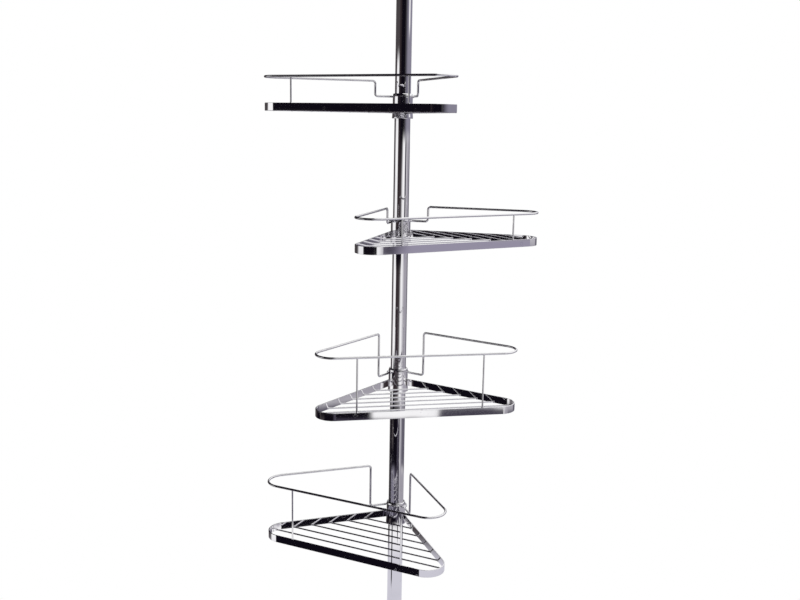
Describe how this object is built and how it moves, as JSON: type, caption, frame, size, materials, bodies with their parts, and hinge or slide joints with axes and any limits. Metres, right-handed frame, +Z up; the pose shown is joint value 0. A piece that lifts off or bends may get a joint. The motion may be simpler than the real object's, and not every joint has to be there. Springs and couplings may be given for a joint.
{
  "type": "tension pole shelf unit",
  "caption": "Spring-loaded floor-to-ceiling pole carrying triangular chrome wire corner shelves with flat rims, guard rails and sliding, swivelling sleeve mounts.",
  "frame": {"origin": "centre of the foot pad's underside, on the pole's axis", "axes": "+Z up the pole towards the ceiling; a shelf turned to zero has its front edge towards -Y"},
  "size_m": [0.3685, 0.2173, 1.8783],
  "materials": {
    "tube_chrome": "polished plated steel tube",
    "strip_chrome": "polished plated flat strip",
    "wire_chrome": "polished plated round wire",
    "sleeve_chrome": "polished plated collar",
    "coupler_steel": "plain drawn steel",
    "plunger_steel": "satin steel",
    "spring_steel": "oiled spring wire",
    "grey_plastic": "fine satin moulding",
    "bush_plastic": "natural moulding",
    "wedge_plastic": "natural moulding",
    "pad_rubber": "matt moulded rubber"
  },
  "bodies": {
    "pole": {"foot_pad": "pad_rubber", "foot_cup": "grey_plastic", "lower_tube": "tube_chrome", "tube_coupler": "coupler_steel", "upper_tube": "tube_chrome", "lock_ferrule": "grey_plastic"},
    "inner_pole": {"inner_tube": "tube_chrome", "guide_bush": "bush_plastic", "spring_seat": "bush_plastic", "plunger_spring": "spring_steel", "plunger_bush": "bush_plastic"},
    "top_plunger": {"plunger": "plunger_steel", "ceiling_cup": "grey_plastic", "ceiling_pad": "pad_rubber"},
    "lock_collar_body": {"lock_collar": "grey_plastic"},
    "wedge_1": {"shelf_1_wedge_left": "wedge_plastic", "shelf_1_wedge_right": "wedge_plastic"},
    "shelf_1": {"shelf_1_rim": "strip_chrome", "shelf_1_rail": "wire_chrome", "shelf_1_uprights": "wire_chrome", "shelf_1_grid": "wire_chrome", "shelf_1_sleeve": "sleeve_chrome"},
    "wedge_2": {"shelf_2_wedge_left": "wedge_plastic", "shelf_2_wedge_right": "wedge_plastic"},
    "shelf_2": {"shelf_2_rim": "strip_chrome", "shelf_2_rail": "wire_chrome", "shelf_2_uprights": "wire_chrome", "shelf_2_grid": "wire_chrome", "shelf_2_sleeve": "sleeve_chrome"},
    "wedge_3": {"shelf_3_wedge_left": "wedge_plastic", "shelf_3_wedge_right": "wedge_plastic"},
    "shelf_3": {"shelf_3_rim": "strip_chrome", "shelf_3_rail": "wire_chrome", "shelf_3_uprights": "wire_chrome", "shelf_3_grid": "wire_chrome", "shelf_3_sleeve": "sleeve_chrome"},
    "wedge_4": {"shelf_4_wedge_left": "wedge_plastic", "shelf_4_wedge_right": "wedge_plastic"},
    "shelf_4": {"shelf_4_rim": "strip_chrome", "shelf_4_rail": "wire_chrome", "shelf_4_uprights": "wire_chrome", "shelf_4_grid": "wire_chrome", "shelf_4_sleeve": "sleeve_chrome"}
  },
  "joints": [
    {"name": "height_slide", "type": "slide", "parent": "pole", "child": "inner_pole", "axis": [0, 0, 1], "range_m": [-0.33, 0.15]},
    {"name": "lock_turn", "type": "hinge", "parent": "pole", "child": "lock_collar_body", "pos_m": [0, 0, 1.342], "axis": [0, 0, 1], "range_deg": [-180, 0]},
    {"name": "top_spring", "type": "slide", "parent": "inner_pole", "child": "top_plunger", "axis": [0, 0, 1], "range_m": [-0.03, 0], "stiffness_N_per_m": 2500, "springref_m": 0.02, "deforming": ["plunger_spring"]},
    {"name": "shelf_1_height", "type": "slide", "parent": "pole", "child": "wedge_1", "axis": [0, 0, 1], "range_m": [-0.05, 0.15]},
    {"name": "shelf_1_swivel", "type": "hinge", "parent": "wedge_1", "child": "shelf_1", "pos_m": [0, 0, 1.068], "axis": [0, 0, 1], "continuous": true},
    {"name": "shelf_2_height", "type": "slide", "parent": "pole", "child": "wedge_2", "axis": [0, 0, 1], "range_m": [-0.05, 0.05]},
    {"name": "shelf_2_swivel", "type": "hinge", "parent": "wedge_2", "child": "shelf_2", "pos_m": [0, 0, 0.895], "axis": [0, 0, 1], "continuous": true},
    {"name": "shelf_3_height", "type": "slide", "parent": "pole", "child": "wedge_3", "axis": [0, 0, 1], "range_m": [-0.05, 0.05]},
    {"name": "shelf_3_swivel", "type": "hinge", "parent": "wedge_3", "child": "shelf_3", "pos_m": [0, 0, 0.676], "axis": [0, 0, 1], "continuous": true},
    {"name": "shelf_4_height", "type": "slide", "parent": "pole", "child": "wedge_4", "axis": [0, 0, 1], "range_m": [-0.3, 0.05]},
    {"name": "shelf_4_swivel", "type": "hinge", "parent": "wedge_4", "child": "shelf_4", "pos_m": [0, 0, 0.47], "axis": [0, 0, 1], "continuous": true}
  ]
}
